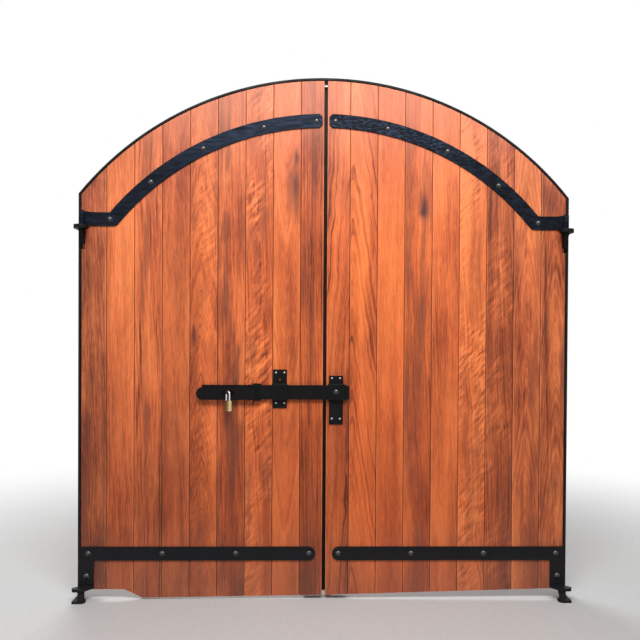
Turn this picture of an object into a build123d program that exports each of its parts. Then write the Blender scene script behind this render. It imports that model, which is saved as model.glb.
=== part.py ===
"""Pair of arched boarded gates in a slim steel lining, with hook-and-band hinges and a barred bolt.

Millimetres. X runs along the gateway, Y goes into it and Z is up. The boards' front faces lie on
Y = 0, the ground on Z = 0, and the two leaves meet at X = 0.
"""

import os
from math import asin, atan2, cos, sin, sqrt

from build123d import *

os.makedirs("parts", exist_ok=True)

# The gateway and its lining
clear_width = 2526.0
crown_height = 2699.0
arch_radius = 1625.0
lining_thick = 10.0
lining_depth = 80.0
fixing_hole = 12.0
fixing_sink = 22.0
fixing_count = 4
fixing_step = 480.0
fixing_first = 330.0

# The leaves
edge_gap = 5.0
meeting_gap = 18.0
outer_board = 128.0
inner_board = 120.0
board_count = 9
board_thick = 22.0
vee = 4.0
tongue_thick = 6.0
tongue_long = 6.0
tongue_clear = 0.3
frame_thick = 45.0
stile_width = 100.0
rail_width = 120.0
brace_width = 90.0
head_rail_width = 255.0
tenon_long = 25.0
tenon_thick = 15.0
tenon_shoulder = 12.0
tenon_clear = 0.3

# The lower edges, which follow the ground: heights of the heel, of the low point and of the middle
heel_height = 52.0
low_height = 8.0
middle_height = 21.0
heel_run = 224.0
heel_slope = 96.0
right_run = 98.0

# The closing strip on the back of the left leaf, which laps behind the right one
strip_thick = 12.0
strip_lap = 18.0
strip_below_top = 8.0

# The straps
strap_thick = 8.0
strap_width = 70.0
upper_strap_drop = 207.0
kink_inset = 164.0
kink_fillet = 30.0
upper_tip_gap = 9.0
tip_clip = 15.0
lower_strap_height = 239.0
lower_tip_gap = 35.0
lower_overhang = 5.0
leg_width = 74.0
leg_bottom = 75.0
leg_fillet = 8.0

# Coach bolts through strap, board and frame
bolt_radius = 6.0
bolt_head_radius = 15.0
bolt_head_height = 8.0
bolt_clear = 0.3
bolt_end = 14.0
washer_radius = 15.0
washer_thick = 2.5
nut_flats = 19.0
nut_high = 10.0
tip_bolt_inset = 40.0
arc_bolt_shares = (0.25, 0.5, 0.715)
kink_bolt_out = 18.0
lower_bolts = 4
lower_bolt_outer = 40.0
lower_bolt_inner = 67.0
leg_bolt_inset = 31.0
leg_bolt_height = 122.0

# The hinge line, common to the pintle and the pivot of each leaf
axis_inset = 15.0
axis_front = 42.0
pin_radius = 8.0
pin_clear = 0.3
pin_chamfer = 2.0
eye_radius = 15.0
eye_bend_inset = 50.0
pin_above_eye = 6.0
tongue_radius = 35.0
tongue_plate = 20.0
lug_width = 10.0
gusset_thick = 16.0
gusset_high = 75.0
gusset_front = 18.0
gusset_foot = 16.0
notch_deep = 20.0
notch_high = 120.0

# The lower pivot
arm_thick = 16.0
arm_radius = 24.0
arm_root = 50.0
arm_root_deep = 10.0
nose_radius = 15.0
nose_out = 29.0
nose_front = 6.0
foot_radius = 24.0
socket_base = 12.0
socket_radius = 17.0
socket_floor = 6.0

# The sliding bar, its guide and its keeper
bar_height = 1080.0
bar_deep = 74.0
bar_thick = 12.0
bar_past_staple = 137.0
bar_right = 127.0
bar_corner = 12.0
bar_travel = 140.0
slide_clear = 0.3
slide_play = 1.2
plate_thick = 6.0
bridge_thick = 6.0
bridge_corner = 5.0
guide_from_seam = 40.0
guide_plate = 72.0
guide_above = 117.0
guide_below = 83.0
guide_bridge = 80.0
guide_hole = 10.0
guide_hole_up = 66.0
keeper_centre = 60.0
keeper_plate = 73.0
keeper_above = 86.0
keeper_below = 167.0
keeper_bridge = 87.0
keeper_boss_radius = 20.0
keeper_boss_high = 9.0

# The staple, the hasp and the strap that carries the hasp
staple_from_seam = 61.0
staple_drop = 2.0
staple_rod = 5.0
staple_half = 19.0
staple_bend = 36.5
staple_deep = 60.0
staple_play = 2.0
hasp_high = 64.0
hasp_thick = 6.0
hasp_drop = 7.0
hasp_past_staple = 165.0
hasp_from_seam = 65.0
hasp_lift = 0.5
hasp_slot_play = 6.0
knuckle_radius = 7.0
knuckle_pin = 3.5
knuckle_clear = 0.3
knuckle_half = 14.0
saddle_width = 44.0
saddle_play = 1.0
saddle_clear = 0.3

# The padlock
lock_wide = 50.0
lock_high = 52.0
lock_thick = 18.0
lock_corner = 5.0
lock_top_drop = 40.5
shackle_rod = 4.0
shackle_back = 42.5
shackle_front = 66.0
shackle_left = 7.0
shackle_right = 11.9
shackle_set = 22.0
shackle_bore_deep = 32.0
shackle_bore_clear = 0.3
shackle_rest = 0.3

# Sizes that follow from the ones above
half_clear = clear_width / 2
leaf_outer = half_clear - edge_gap
leaf_inner = meeting_gap / 2
leaf_radius = arch_radius - edge_gap
arch_z = crown_height - arch_radius
board_pitch = (leaf_outer - leaf_inner - outer_board - inner_board) / (board_count - 2)
seams = [leaf_inner + inner_board + board_pitch * k for k in range(board_count - 1)]
back = board_thick + frame_thick
head_radius = leaf_radius - head_rail_width
strap_radius = leaf_radius - upper_strap_drop
kink = leaf_outer - kink_inset
upper_strap_height = arch_z + sqrt(strap_radius**2 - kink**2)
eye_bottom = upper_strap_height - strap_width / 2
axis_x = leaf_outer - axis_inset
lug_out = half_clear + lining_thick + lug_width
tongue_x = lug_out - tongue_radius
pintle_top = eye_bottom - pin_clear
arm_bottom = leg_bottom - arm_thick
bar_back = plate_thick + slide_clear
bar_front = bar_back + bar_thick
bridge_inner = bar_front + slide_play
bridge_front = bridge_inner + bridge_thick
bar_low = bar_height - bar_deep / 2
bar_high = bar_height + bar_deep / 2
staple_z = bar_height - staple_drop
hasp_z = bar_height - hasp_drop
guide_centre = seams[1] - guide_from_seam
hasp_axis = seams[2] - hasp_from_seam
staple_centre = seams[3] - staple_from_seam
bar_left = staple_centre + bar_past_staple
hasp_end = staple_centre + hasp_past_staple
hasp_back = bridge_front + hasp_lift
hasp_front = hasp_back + hasp_thick
hinge_y = bridge_front + hasp_lift + knuckle_radius
lock_top = bar_height - lock_top_drop


def facing(depth):
    """A plane that faces the front at this depth; what is extruded from it grows forwards."""
    return Plane.XZ.offset(-depth)


def arch_point(radius, x):
    """Height of a circle round the arch's centre at this distance from the middle."""
    return arch_z + sqrt(radius**2 - x**2)


def bar_outline(points, width):
    """Corners of a bar of this width along a bent line, with mitred bends."""
    left = []
    right = []
    for i, (x, y) in enumerate(points):
        before = points[max(i - 1, 0)]
        after = points[min(i + 1, len(points) - 1)]
        incoming = atan2(y - before[1], x - before[0]) if i else None
        outgoing = atan2(after[1] - y, after[0] - x) if i < len(points) - 1 else None
        incoming = outgoing if incoming is None else incoming
        outgoing = incoming if outgoing is None else outgoing
        middle = (incoming + outgoing) / 2
        reach = width / 2 / cos((outgoing - incoming) / 2)
        left.append((x - reach * sin(middle), y + reach * cos(middle)))
        right.append((x + reach * sin(middle), y - reach * cos(middle)))
    return left + right[::-1]


# Lower edges, from the outer edge to the middle
leaf_feet = {
    -1: [
        (leaf_outer, heel_height),
        (leaf_outer - heel_run, heel_height),
        (leaf_outer - heel_run - heel_slope, low_height),
        (leaf_inner, middle_height),
    ],
    1: [
        (leaf_outer, heel_height),
        (leaf_outer - right_run, heel_height),
        (leaf_inner, middle_height),
    ],
}


def leaf_shape(side, front, behind):
    """The leaf's whole outline as a slab, to trim what belongs to it."""
    with BuildPart() as shape:
        with BuildSketch(facing(behind)):
            with BuildLine():
                feet = [(side * x, z) for x, z in leaf_feet[side]]
                outer_top = (side * leaf_outer, arch_point(leaf_radius, leaf_outer))
                inner_top = (side * leaf_inner, arch_point(leaf_radius, leaf_inner))
                halfway = (leaf_outer + leaf_inner) / 2
                Polyline(outer_top, *feet, inner_top)
                ThreePointArc(
                    inner_top, (side * halfway, arch_point(leaf_radius, halfway)), outer_top
                )
            make_face()
        extrude(amount=behind - front)
    return shape.part


def ring_sector(radius_in, radius_out, x_from, x_to):
    """Part of a ring round the arch's centre, between two distances from the middle."""
    with BuildSketch(mode=Mode.PRIVATE) as ring:
        with Locations((0, arch_z)):
            Circle(radius_out)
            Circle(radius_in, mode=Mode.SUBTRACT)
        with Locations(((x_from + x_to) / 2, arch_z + radius_out / 2)):
            Rectangle(abs(x_to - x_from), radius_out * 2, mode=Mode.INTERSECT)
        with Locations((0, arch_z + radius_out / 2)):
            Rectangle(radius_out * 2, radius_out, mode=Mode.INTERSECT)
    return ring.sketch


def dome_middle(radius, height):
    """Half-way point of a dome's outline, as distances from its axis and above its rim."""
    sphere = (radius**2 + height**2) / (2 * height)
    half = asin(radius / sphere) / 2
    return sphere * sin(half), height - sphere * (1 - cos(half))


def bolt_places(side):
    """Where the coach bolts of one leaf go through, as (x, z)."""
    leaf_wide = leaf_outer - leaf_inner
    arc = [leaf_inner + tip_bolt_inset]
    arc += [leaf_inner + leaf_wide * share for share in arc_bolt_shares]
    places = [(side * x, arch_point(strap_radius, x)) for x in arc]
    places.append((side * (kink + kink_bolt_out), upper_strap_height))
    step = (leaf_wide - lower_bolt_outer - lower_bolt_inner) / (lower_bolts - 1)
    for k in range(lower_bolts):
        x = leaf_inner + lower_bolt_inner + step * k
        places.append((side * x, lower_strap_height))
    places.append((side * (leaf_outer - leg_bolt_inset), leg_bolt_height))
    return places


def drill(side):
    """The bolt holes of one leaf, through everything."""
    with BuildPart() as holes:
        with BuildSketch(facing(back)):
            with Locations(*bolt_places(side)):
                Circle(bolt_radius + bolt_clear)
        extrude(amount=back + strap_thick)
    return holes.part


def write(piece, name):
    piece.part.label = name
    export_step(piece.part, f"parts/{name}.step")


# The lining: two jambs and the arch, cut from flat bar and mitred at the springing
spring_in = arch_point(arch_radius, half_clear)
spring_out = arch_point(arch_radius + lining_thick, half_clear + lining_thick)

for side, name in ((-1, "left_jamb"), (1, "right_jamb")):
    with BuildPart() as jamb:
        with BuildSketch(facing(lining_depth)):
            with BuildLine():
                Polyline(
                    (side * half_clear, 0),
                    (side * (half_clear + lining_thick), 0),
                    (side * (half_clear + lining_thick), spring_out),
                    (side * half_clear, spring_in),
                    close=True,
                )
            make_face()
        extrude(amount=lining_depth)
        heights = [fixing_first + fixing_step * k for k in range(fixing_count)]
        fixings = [
            Plane((side * half_clear, lining_depth / 2, z), z_dir=(-side, 0, 0)) for z in heights
        ]
        with Locations(*fixings):
            CounterSinkHole(fixing_hole / 2, fixing_sink / 2, lining_thick)
    write(jamb, name)

with BuildPart() as arch_lining:
    with BuildSketch(facing(lining_depth)):
        with BuildLine():
            ThreePointArc((-half_clear, spring_in), (0, crown_height), (half_clear, spring_in))
            Line((half_clear, spring_in), (half_clear + lining_thick, spring_out))
            ThreePointArc(
                (half_clear + lining_thick, spring_out),
                (0, crown_height + lining_thick),
                (-half_clear - lining_thick, spring_out),
            )
            Line((-half_clear - lining_thick, spring_out), (-half_clear, spring_in))
        make_face()
    extrude(amount=lining_depth)
write(arch_lining, "arch_lining")

# The pintles: a round tongue with its built-in lug, a gusset below and the pin above
for side, name in ((-1, "left_pintle"), (1, "right_pintle")):
    with BuildPart() as pintle:
        with BuildSketch(Plane.XY.offset(pintle_top - tongue_plate)):
            with Locations((side * tongue_x, -axis_front)):
                Circle(tongue_radius)
            with Locations((side * (lug_out - lug_width / 2), (lining_depth - axis_front) / 2)):
                Rectangle(lug_width, lining_depth + axis_front)
        extrude(amount=tongue_plate)
        with BuildSketch(Plane.YZ.offset(side * tongue_x - gusset_thick / 2)):
            with BuildLine():
                Polyline(
                    (-axis_front - gusset_front, pintle_top - tongue_plate),
                    (0, pintle_top - tongue_plate),
                    (0, pintle_top - tongue_plate - gusset_high),
                    (-gusset_foot, pintle_top - tongue_plate - gusset_high),
                    close=True,
                )
            make_face()
        extrude(amount=gusset_thick)
        with BuildSketch(Plane.XY.offset(pintle_top)):
            with Locations((side * axis_x, -axis_front)):
                Circle(pin_radius)
        extrude(amount=strap_width + pin_above_eye)
        chamfer(pintle.edges().filter_by(GeomType.CIRCLE).sort_by(Axis.Z)[-1], pin_chamfer)
    write(pintle, name)

# The pivot sockets, which stand on the ground against the jambs
for side, name in ((-1, "left_socket"), (1, "right_socket")):
    with BuildPart() as socket:
        with BuildSketch():
            with Locations((side * axis_x, -axis_front)):
                Circle(foot_radius)
            with Locations((side * (axis_x + lug_out) / 2, -axis_front)):
                Rectangle(lug_out - axis_x, 2 * foot_radius)
            with Locations((side * (lug_out - lug_width / 2), (lining_depth - axis_front) / 2)):
                Rectangle(lug_width, lining_depth + axis_front)
        extrude(amount=socket_base)
        with BuildSketch():
            with Locations((side * axis_x, -axis_front)):
                Circle(socket_radius)
        extrude(amount=arm_bottom - pin_clear)
        with BuildSketch(Plane.XY.offset(arm_bottom - pin_clear)):
            with Locations((side * axis_x, -axis_front)):
                Circle(pin_radius + pin_clear)
        extrude(amount=-(arm_bottom - pin_clear - socket_floor), mode=Mode.SUBTRACT)
    write(socket, name)

# The boards: tongued, grooved and vee-jointed, with their heads cut to the arch
with BuildPart() as saddle_legs:
    with BuildSketch(facing(board_thick)):
        with Locations(
            (-hasp_axis, bar_high + saddle_play + bridge_thick / 2),
            (-hasp_axis, bar_low - saddle_play - bridge_thick / 2),
        ):
            Rectangle(saddle_width + 2 * saddle_clear, bridge_thick + 2 * saddle_clear)
    extrude(amount=board_thick)

with BuildPart() as staple_holes:
    with BuildSketch(facing(staple_deep + saddle_clear)):
        with Locations(
            (-staple_centre - staple_half, staple_z), (-staple_centre + staple_half, staple_z)
        ):
            Circle(staple_rod + saddle_clear)
    extrude(amount=staple_deep + saddle_clear)

edges = [leaf_outer, *seams[::-1], leaf_inner]
tongue_front = (board_thick - tongue_thick) / 2

for side, leaf in ((-1, "left"), (1, "right")):
    whole = leaf_shape(side, 0, board_thick)
    holes = drill(side)
    for k in range(board_count):
        out, inn = edges[k], edges[k + 1]
        number = k + 1 if side < 0 else board_count - k
        groove = tongue_long + tongue_clear
        with BuildPart() as board:
            with BuildSketch():
                with BuildLine():
                    points = [(out - (vee if k else 0), 0), (out, vee if k else 0)]
                    if k:
                        points += [
                            (out, tongue_front - tongue_clear),
                            (out - groove, tongue_front - tongue_clear),
                            (out - groove, tongue_front + tongue_thick + tongue_clear),
                            (out, tongue_front + tongue_thick + tongue_clear),
                        ]
                    points += [(out, board_thick), (inn, board_thick)]
                    if k < board_count - 1:
                        points += [
                            (inn, tongue_front + tongue_thick),
                            (inn - tongue_long, tongue_front + tongue_thick),
                            (inn - tongue_long, tongue_front),
                            (inn, tongue_front),
                            (inn, vee),
                            (inn + vee, 0),
                        ]
                    else:
                        points += [(inn, 0)]
                    if not k:
                        points.pop(0)
                    Polyline(*[(side * x, y) for x, y in points], close=True)
                make_face()
            extrude(amount=crown_height)
            add(whole, mode=Mode.INTERSECT)
            add(holes, mode=Mode.SUBTRACT)
            if side < 0:
                add(saddle_legs.part, mode=Mode.SUBTRACT)
                add(staple_holes.part, mode=Mode.SUBTRACT)
            if not k:
                with BuildSketch(facing(board_thick)):
                    with Locations((side * leaf_outer, eye_bottom - notch_high / 2)):
                        Rectangle(2 * notch_deep, notch_high)
                extrude(amount=board_thick, mode=Mode.SUBTRACT)
        write(board, f"{leaf}_board_{number}")

# The framing behind the boards of each leaf
low_rail = (lower_strap_height - rail_width / 2, lower_strap_height + rail_width / 2)
mid_rail = (bar_height - rail_width / 2, bar_height + rail_width / 2)
bay_out = leaf_outer - stile_width
bay_in = leaf_inner + stile_width


def tenons(side, rail, grow):
    """The tongue that runs through a rail and out at both of its ends, grown on every side."""
    with BuildPart() as tongue:
        with BuildSketch(facing(board_thick + (frame_thick + tenon_thick) / 2 + grow)):
            with Locations((side * (bay_out + bay_in) / 2, sum(rail) / 2)):
                Rectangle(
                    bay_out - bay_in + 2 * (tenon_long + grow),
                    rail_width - 2 * (tenon_shoulder - grow),
                )
        extrude(amount=tenon_thick + 2 * grow)
    return tongue.part


for side, leaf in ((-1, "left"), (1, "right")):
    whole = leaf_shape(side, board_thick, back)
    holes = drill(side)

    for name, x_out in (("hanging_stile", leaf_outer), ("meeting_stile", bay_in)):
        with BuildPart() as stile:
            with BuildSketch(facing(back)):
                with Locations((side * (x_out - stile_width / 2), crown_height / 2)):
                    Rectangle(stile_width, crown_height)
                add(
                    ring_sector(head_radius, leaf_radius + stile_width, 0, side * half_clear),
                    mode=Mode.SUBTRACT,
                )
            extrude(amount=frame_thick)
            add(whole, mode=Mode.INTERSECT)
            add(holes, mode=Mode.SUBTRACT)
            for rail in (low_rail, mid_rail):
                add(tenons(side, rail, tenon_clear), mode=Mode.SUBTRACT)
        write(stile, f"{leaf}_{name}")

    with BuildPart() as head_rail:
        with BuildSketch(facing(back)):
            add(ring_sector(head_radius, leaf_radius, side * leaf_inner, side * leaf_outer))
        extrude(amount=frame_thick)
        add(holes, mode=Mode.SUBTRACT)
    write(head_rail, f"{leaf}_head_rail")

    for name, heights in (("bottom_rail", low_rail), ("lock_rail", mid_rail)):
        with BuildPart() as rail:
            with BuildSketch(facing(back)):
                with Locations((side * (bay_out + bay_in) / 2, sum(heights) / 2)):
                    Rectangle(bay_out - bay_in, rail_width)
            extrude(amount=frame_thick)
            add(tenons(side, heights, 0))
            add(holes, mode=Mode.SUBTRACT)
            if side < 0:
                add(staple_holes.part, mode=Mode.SUBTRACT)
        write(rail, f"{leaf}_{name}")

    # Each brace rises from the hanging stile to the meeting stile and fills the corners of its bay
    bays = {
        "lower_brace": (low_rail[1], mid_rail[0]),
        "upper_brace": (mid_rail[1], arch_point(head_radius, bay_in) - brace_width / 2),
    }
    for name, (z_from, z_to) in bays.items():
        rise = atan2(z_to - z_from, bay_out - bay_in)
        ends = [
            (side * (bay_out + brace_width * cos(rise)), z_from - brace_width * sin(rise)),
            (side * (bay_in - brace_width * cos(rise)), z_to + brace_width * sin(rise)),
        ]
        with BuildPart() as brace:
            with BuildSketch(facing(back)):
                with BuildLine():
                    Polyline(*bar_outline(ends, brace_width), close=True)
                make_face()
                with Locations((side * (bay_out + bay_in) / 2, (z_from + crown_height) / 2)):
                    Rectangle(bay_out - bay_in, crown_height - z_from, mode=Mode.INTERSECT)
                if name == "lower_brace":
                    with Locations((side * (bay_out + bay_in) / 2, (z_from + z_to) / 2)):
                        Rectangle(bay_out - bay_in, z_to - z_from, mode=Mode.INTERSECT)
                else:
                    with Locations((0, arch_z)):
                        Circle(head_radius, mode=Mode.INTERSECT)
            extrude(amount=frame_thick)
        write(brace, f"{leaf}_{name}")

strip_top = arch_point(leaf_radius, leaf_inner) - strip_below_top
with BuildPart() as closing_strip:
    with BuildSketch(facing(back + strip_thick)):
        with Locations((0, (middle_height + strip_top) / 2)):
            Rectangle(2 * (leaf_inner + strip_lap), strip_top - middle_height)
    extrude(amount=strip_thick)
write(closing_strip, "closing_strip")

# The straps. The upper one is cranked forwards at its end and rolled into the eye
for side, leaf in ((-1, "left"), (1, "right")):
    holes = drill(side)
    bend = leaf_outer - eye_bend_inset
    with BuildPart() as upper_strap:
        with BuildSketch(facing(0)):
            with BuildLine():
                ends = []
                for edge in (-strap_width / 2, strap_width / 2):
                    radius = strap_radius + edge
                    height = upper_strap_height + edge
                    tip_x = leaf_inner + upper_tip_gap
                    bend_x = sqrt(radius**2 - (height - arch_z) ** 2)
                    half_x = (tip_x + bend_x) / 2
                    tip = (side * tip_x, arch_point(radius, tip_x))
                    halfway = (side * half_x, arch_point(radius, half_x))
                    ThreePointArc(tip, halfway, (side * bend_x, height))
                    Line((side * bend_x, height), (side * bend, height))
                    ends.append((tip, (side * bend, height)))
                Line(ends[0][0], ends[1][0])
                Line(ends[0][1], ends[1][1])
            make_face()
        extrude(amount=strap_thick)
        corners = upper_strap.edges().filter_by(Axis.Y).sort_by(lambda e: abs(e.center().X))
        lower_bend, upper_bend = corners[2:4]
        chamfer(corners[:2], tip_clip)
        fillet([lower_bend], kink_fillet)
        with BuildSketch(Plane.XY.offset(eye_bottom)):
            with BuildLine():
                path = [
                    (side * (bend - strap_thick), -strap_thick / 2),
                    (side * bend, -strap_thick / 2),
                    (side * axis_x, -axis_front),
                ]
                Polyline(*bar_outline(path, strap_thick), close=True)
            make_face()
            with Locations((side * axis_x, -axis_front)):
                Circle(eye_radius)
                Circle(pin_radius + pin_clear, mode=Mode.SUBTRACT)
        extrude(amount=strap_width)
        add(holes, mode=Mode.SUBTRACT)
    write(upper_strap, f"{leaf}_upper_strap")

    # The lower strap turns down at the heel and ends in a forged arm with the pivot pin
    tip = leaf_inner + lower_tip_gap + strap_width / 2
    end = leaf_outer + lower_overhang
    leg_top = lower_strap_height + strap_width / 2
    root = end - leg_width
    with BuildPart() as lower_strap:
        with BuildSketch(facing(0)):
            with Locations((side * tip, lower_strap_height)):
                Circle(strap_width / 2)
            with Locations((side * (tip + end) / 2, lower_strap_height)):
                Rectangle(end - tip, strap_width)
            with Locations((side * (end - leg_width / 2), (leg_top + leg_bottom) / 2)):
                Rectangle(leg_width, leg_top - leg_bottom)
        extrude(amount=strap_thick)
        inside = Vector(side * root, -strap_thick / 2, lower_strap_height - strap_width / 2)
        upright = lower_strap.edges().filter_by(Axis.Y)
        fillet(upright.sort_by_distance(inside)[0], leg_fillet)
        with BuildSketch(Plane.XY.offset(arm_bottom)):
            with Locations((side * (root + arm_root / 2), -arm_root_deep / 2)):
                Rectangle(arm_root, arm_root_deep)
            with Locations((side * axis_x, -axis_front)):
                Circle(arm_radius)
            with Locations((side * (axis_x + nose_out), -axis_front - nose_front)):
                Circle(nose_radius)
            make_hull()
        extrude(amount=arm_thick)
        with BuildSketch(Plane.XY.offset(arm_bottom)):
            with Locations((side * axis_x, -axis_front)):
                Circle(pin_radius)
        extrude(amount=socket_floor + pin_radius - arm_bottom)
        add(holes, mode=Mode.SUBTRACT)
    write(lower_strap, f"{leaf}_lower_strap")

    # Coach bolts with cup heads outside, washers and nuts inside
    with BuildPart() as coach_bolt:
        with BuildSketch(Plane.XY):
            with BuildLine():
                head = bolt_head_height
                Polyline(
                    (0, -strap_thick - head),
                    (0, back + bolt_end),
                    (bolt_radius, back + bolt_end),
                    (bolt_radius, back + washer_thick),
                    (washer_radius, back + washer_thick),
                    (washer_radius, back),
                    (bolt_radius, back),
                    (bolt_radius, -strap_thick),
                    (bolt_head_radius, -strap_thick),
                )
                out, up = dome_middle(bolt_head_radius, head)
                ThreePointArc(
                    (bolt_head_radius, -strap_thick), (out, -strap_thick - up), (0, -strap_thick - head)
                )
            make_face()
        revolve(axis=Axis.Y)
        with BuildSketch(facing(back + washer_thick + nut_high)):
            RegularPolygon(nut_flats / 2, 6, major_radius=False)
        extrude(amount=nut_high)
    with BuildPart() as bolts:
        with Locations(*[(x, 0, z) for x, z in bolt_places(side)]):
            add(coach_bolt.part)
    write(bolts, f"{leaf}_strap_bolts")


def keeper_plate_and_bridge(centre, plate, above, below, bridge):
    """A plate on the boards with a strap bridged over the bar's path."""
    with BuildPart() as keeper:
        with BuildSketch(facing(0)):
            with Locations((centre, bar_height + (above - below) / 2)):
                Rectangle(plate, above + below)
        extrude(amount=plate_thick)
        with BuildSketch(Plane.YZ.offset(centre - bridge / 2)):
            low = bar_low - slide_clear - bridge_thick
            high = bar_high + slide_play + bridge_thick
            with Locations((-(plate_thick + bridge_front) / 2, (low + high) / 2)):
                Rectangle(bridge_front - plate_thick, high - low)
            with Locations((-(plate_thick + bridge_inner) / 2, (low + high) / 2)):
                inside = high - low - 2 * bridge_thick
                Rectangle(bridge_inner - plate_thick, inside, mode=Mode.SUBTRACT)
        extrude(amount=bridge)
        outer = keeper.edges().filter_by(Axis.X).group_by(Axis.Y)[0]
        fillet(outer, bridge_corner)
    return keeper


# The guide on the left leaf and the keeper on the right leaf
guide = keeper_plate_and_bridge(
    -guide_centre, guide_plate, guide_above, guide_below, guide_bridge
)
with BuildPart() as bolt_guide:
    add(guide.part)
    with BuildSketch(facing(0)):
        with Locations((-guide_centre, bar_height + guide_hole_up)):
            Circle(guide_hole / 2)
    extrude(amount=plate_thick, mode=Mode.SUBTRACT)
write(bolt_guide, "bolt_guide")

keeper = keeper_plate_and_bridge(
    keeper_centre, keeper_plate, keeper_above, keeper_below, keeper_bridge
)
with BuildPart() as bolt_keeper:
    add(keeper.part)
    with BuildSketch(Plane.XY.offset(bar_height)):
        with BuildLine():
            Line((keeper_centre, -bridge_front - keeper_boss_high), (keeper_centre, -bridge_front))
            Line(
                (keeper_centre, -bridge_front), (keeper_centre + keeper_boss_radius, -bridge_front)
            )
            out, up = dome_middle(keeper_boss_radius, keeper_boss_high)
            ThreePointArc(
                (keeper_centre + keeper_boss_radius, -bridge_front),
                (keeper_centre + out, -bridge_front - up),
                (keeper_centre, -bridge_front - keeper_boss_high),
            )
        make_face()
    revolve(axis=Axis((keeper_centre, 0, bar_height), (0, 1, 0)))
write(bolt_keeper, "bolt_keeper")

# The bar, with the slot that lets it pass the staple as it slides
slot_left = staple_centre + staple_half + staple_rod + staple_play
slot_right = staple_centre - staple_half - staple_rod - staple_play - bar_travel
with BuildPart() as bar:
    with BuildSketch(facing(-bar_back)):
        with Locations(((bar_right - bar_left) / 2, bar_height)):
            Rectangle(bar_left + bar_right, bar_deep)
        with Locations((-(slot_left + slot_right) / 2, staple_z)):
            SlotOverall(slot_left - slot_right, 2 * (staple_rod + staple_play), mode=Mode.SUBTRACT)
    extrude(amount=bar_thick)
    fillet(bar.edges().filter_by(Axis.Y).group_by(Axis.X)[-1], bar_corner)
write(bar, "bolt_bar")

# The staple: a rod bent to a U and driven through the boards into the lock rail
with BuildPart() as staple:
    with BuildLine() as staple_path:
        Line(
            (-staple_centre - staple_half, staple_deep, staple_z),
            (-staple_centre - staple_half, -staple_bend, staple_z),
        )
        ThreePointArc(
            (-staple_centre - staple_half, -staple_bend, staple_z),
            (-staple_centre, -staple_bend - staple_half, staple_z),
            (-staple_centre + staple_half, -staple_bend, staple_z),
        )
        Line(
            (-staple_centre + staple_half, -staple_bend, staple_z),
            (-staple_centre + staple_half, staple_deep, staple_z),
        )
    with BuildSketch(Plane(staple_path.line @ 0, z_dir=(0, -1, 0))):
        Circle(staple_rod)
    sweep()
write(staple, "staple")

# The saddle over the bar, whose legs pass through the boards, with the fixed knuckles of the hasp
with BuildPart() as saddle:
    with BuildSketch(Plane.YZ.offset(-hasp_axis - saddle_width / 2)):
        low = bar_low - saddle_play - bridge_thick
        high = bar_high + saddle_play + bridge_thick
        with Locations(((board_thick - bridge_front) / 2, (low + high) / 2)):
            Rectangle(board_thick + bridge_front, high - low)
        with Locations(((board_thick - bridge_inner) / 2, (low + high) / 2)):
            Rectangle(board_thick + bridge_inner, high - low - 2 * bridge_thick, mode=Mode.SUBTRACT)
    extrude(amount=saddle_width)
    for z_from, z_to in (
        (hasp_z - hasp_high / 2, hasp_z - knuckle_half - knuckle_clear),
        (hasp_z + knuckle_half + knuckle_clear, hasp_z + hasp_high / 2),
    ):
        with BuildSketch(Plane.XY.offset(z_from)):
            with Locations((-hasp_axis, -hinge_y)):
                Circle(knuckle_radius)
            with Locations((-hasp_axis + knuckle_radius / 2, -(bridge_front + hinge_y) / 2)):
                Rectangle(knuckle_radius, hinge_y - bridge_front)
        extrude(amount=z_to - z_from)
    with BuildSketch(Plane.XY.offset(hasp_z - hasp_high / 2)):
        with Locations((-hasp_axis, -hinge_y)):
            Circle(knuckle_pin)
    extrude(amount=hasp_high)
write(saddle, "hasp_saddle")

# The hasp, with its rounded end, its knuckle and the slot that goes over the staple
with BuildPart() as hasp:
    near = hasp_axis + knuckle_radius + 2 * knuckle_clear
    with BuildSketch(facing(-hasp_back)):
        far = hasp_end - hasp_high / 2
        with Locations((-(near + far) / 2, hasp_z)):
            Rectangle(far - near, hasp_high)
        with Locations((-far, hasp_z)):
            Circle(hasp_high / 2)
        with Locations((-(hasp_axis + near) / 2, hasp_z)):
            Rectangle(near - hasp_axis, 2 * knuckle_half)
        with Locations((-staple_centre, staple_z)):
            SlotOverall(
                2 * (staple_half + staple_rod + hasp_slot_play),
                2 * (staple_rod + staple_play),
                mode=Mode.SUBTRACT,
            )
    extrude(amount=hasp_thick)
    with BuildSketch(Plane.XY.offset(hasp_z - knuckle_half)):
        with Locations((-hasp_axis, -hinge_y)):
            Circle(knuckle_radius)
    extrude(amount=2 * knuckle_half)
    with BuildSketch(Plane.XY.offset(hasp_z - knuckle_half)):
        with Locations((-hasp_axis, -hinge_y)):
            Circle(knuckle_pin + knuckle_clear)
    extrude(amount=2 * knuckle_half, mode=Mode.SUBTRACT)
write(hasp, "hasp")

# The padlock hangs by its shackle on the staple, turned away from the front
leg_back = Vector(-staple_centre - shackle_left, -shackle_back, lock_top)
leg_front = Vector(-staple_centre + shackle_right, -shackle_front, lock_top)
across = (leg_front - leg_back).normalized()
lock_plane = Plane((leg_back + leg_front) * 0.5, x_dir=across, z_dir=(0, 0, 1))
leg_apart = (leg_front - leg_back).length

with BuildPart() as lock_body:
    with BuildSketch(lock_plane):
        RectangleRounded(lock_wide, lock_thick, lock_corner)
    extrude(amount=-lock_high)
    with BuildSketch(lock_plane):
        with Locations((-leg_apart / 2, 0), (leg_apart / 2, 0)):
            Circle(shackle_rod + shackle_bore_clear)
    extrude(amount=-shackle_bore_deep, mode=Mode.SUBTRACT)
write(lock_body, "padlock_body")

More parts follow.
